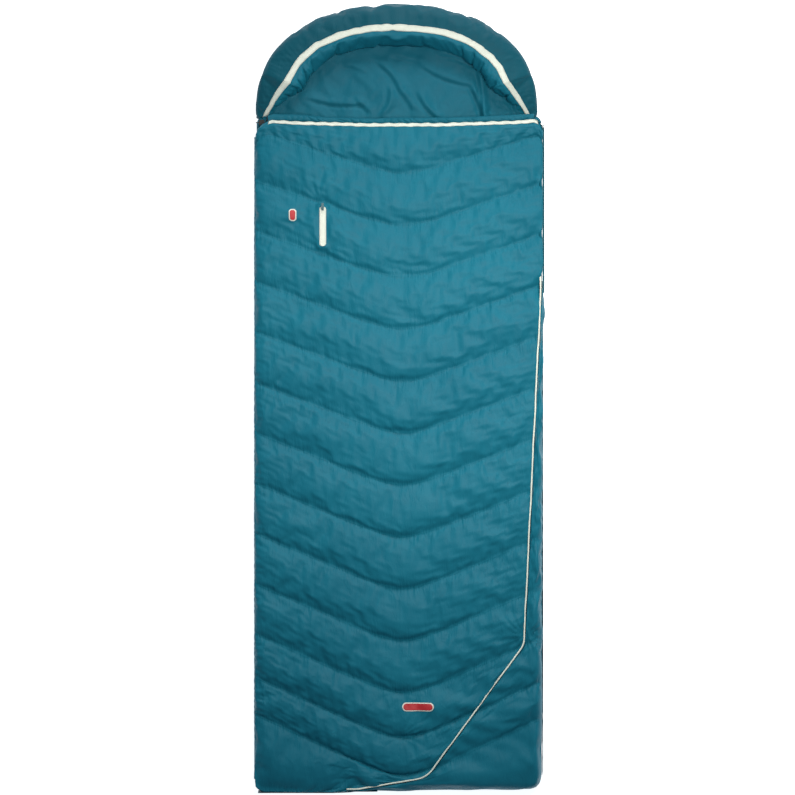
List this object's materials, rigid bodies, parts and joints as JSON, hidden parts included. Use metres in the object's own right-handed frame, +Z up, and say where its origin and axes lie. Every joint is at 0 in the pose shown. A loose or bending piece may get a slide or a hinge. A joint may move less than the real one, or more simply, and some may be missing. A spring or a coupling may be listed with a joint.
{
  "type": "camp quilt",
  "caption": "Hooded rectangular sleeping bag with chevron quilting, white trims and a zip round one side and the foot, so that it opens out into a camp quilt.",
  "frame": {"origin": "middle of the underside of the bag as it lies on its back", "axes": "+Z up off the ground, +Y from the foot towards the hood, +X towards the zip side"},
  "size_m": [0.829, 2.25, 0.1032],
  "materials": {
    "shell_fabric": "thin plain-weave nylon with a soft sheen",
    "lining_fabric": "thin soft nylon",
    "filling": "loose fibre filling",
    "white_binding": "off-white woven binding",
    "zip_tape": "woven zip tape",
    "zip_coil": "nylon coil",
    "slider_metal": "cast metal",
    "pull_plastic": "moulded pull",
    "badge": "plain embroidery",
    "cord": "braided cord",
    "lock_plastic": "moulded plastic",
    "spring_steel": "spring wire"
  },
  "bodies": {
    "back": {"back_shell": "shell_fabric", "back_liner": "lining_fabric", "back_fill_01": "filling", "back_fill_02": "filling", "back_fill_03": "filling", "back_fill_04": "filling", "back_fill_05": "filling", "back_fill_06": "filling", "back_fill_07": "filling", "wrap_fill": "filling", "wrap_shell": "shell_fabric", "left_seam_tape": "shell_fabric", "zip_tape_wrap": "zip_tape", "zip_coil_wrap": "zip_coil", "cord_lock_body": "lock_plastic", "cord_lock_spring": "spring_steel", "drawcord_tail": "cord"},
    "cover": {"cover_shell": "shell_fabric", "cover_liner": "lining_fabric", "cover_fill_01": "filling", "cover_fill_02": "filling", "cover_fill_03": "filling", "cover_fill_04": "filling", "cover_fill_05": "filling", "cover_fill_06": "filling", "cover_fill_07": "filling", "cover_fill_08": "filling", "cover_fill_09": "filling", "cover_fill_10": "filling", "cover_fill_11": "filling", "cover_fill_12": "filling", "cover_fill_13": "filling", "cover_fill_14": "filling", "neck_tape": "white_binding", "neck_facing": "lining_fabric", "zip_piping": "white_binding", "draught_tube": "lining_fabric", "zip_tape_cover": "zip_tape", "zip_coil_cover": "zip_coil", "pocket_bag": "lining_fabric", "pocket_zip_tape": "white_binding", "chest_badge": "badge", "foot_badge": "badge"},
    "hood": {"hood_shell": "shell_fabric", "hood_fill": "filling", "hood_liner": "lining_fabric", "hood_rim_fill": "filling", "hood_rim_shell": "shell_fabric", "hood_rim_lining": "lining_fabric", "hood_rim_tape": "white_binding", "hood_drawcord": "cord"},
    "top_slider": {"top_slider": "slider_metal"},
    "top_pull": {"top_pull": "pull_plastic"},
    "foot_slider": {"foot_slider": "slider_metal"},
    "foot_pull": {"foot_pull": "pull_plastic"},
    "pocket_slider": {"pocket_slider": "shell_fabric"},
    "pocket_pull": {"pocket_pull": "pull_plastic"},
    "cord_lock_button": {"cord_lock_button": "lock_plastic"}
  },
  "joints": [
    {"name": "cover_hinge", "type": "hinge", "parent": "back", "child": "cover", "pos_m": [-0.4125, 0, 0.046], "axis": [0, -1, 0], "range_deg": [0, 180]},
    {"name": "hood_tilt", "type": "hinge", "parent": "back", "child": "hood", "pos_m": [0, 0.8155, 0.031], "axis": [1, 0, 0], "range_deg": [0, 35]},
    {"name": "top_slider_run", "type": "slide", "parent": "back", "child": "top_slider", "axis": [0, -1, 0], "range_m": [0, 0.4]},
    {"name": "top_pull_swing", "type": "hinge", "parent": "top_slider", "child": "top_pull", "pos_m": [0.408, 0.7744, 0.0705], "axis": [-1, 0, 0], "range_deg": [0, 170]},
    {"name": "foot_slider_run", "type": "slide", "parent": "back", "child": "foot_slider", "axis": [1, 0, 0], "range_m": [0, 0.19]},
    {"name": "foot_pull_swing", "type": "hinge", "parent": "foot_slider", "child": "foot_pull", "pos_m": [-0.3915, -1.1185, 0.0705], "axis": [0, -1, 0], "range_deg": [0, 170]},
    {"name": "pocket_slider_run", "type": "slide", "parent": "cover", "child": "pocket_slider", "axis": [0, -1, 0], "range_m": [0, 0.098]},
    {"name": "pocket_pull_swing", "type": "hinge", "parent": "pocket_slider", "child": "pocket_pull", "pos_m": [-0.215, 0.536, 0.0894], "axis": [1, 0, 0], "range_deg": [0, 170]},
    {"name": "cord_lock_press", "type": "slide", "parent": "back", "child": "cord_lock_button", "axis": [0, 1, 0], "range_m": [0, 0.0018], "stiffness_N_per_m": 600, "springref_m": -0.002, "deforming": ["cord_lock_spring"]}
  ]
}
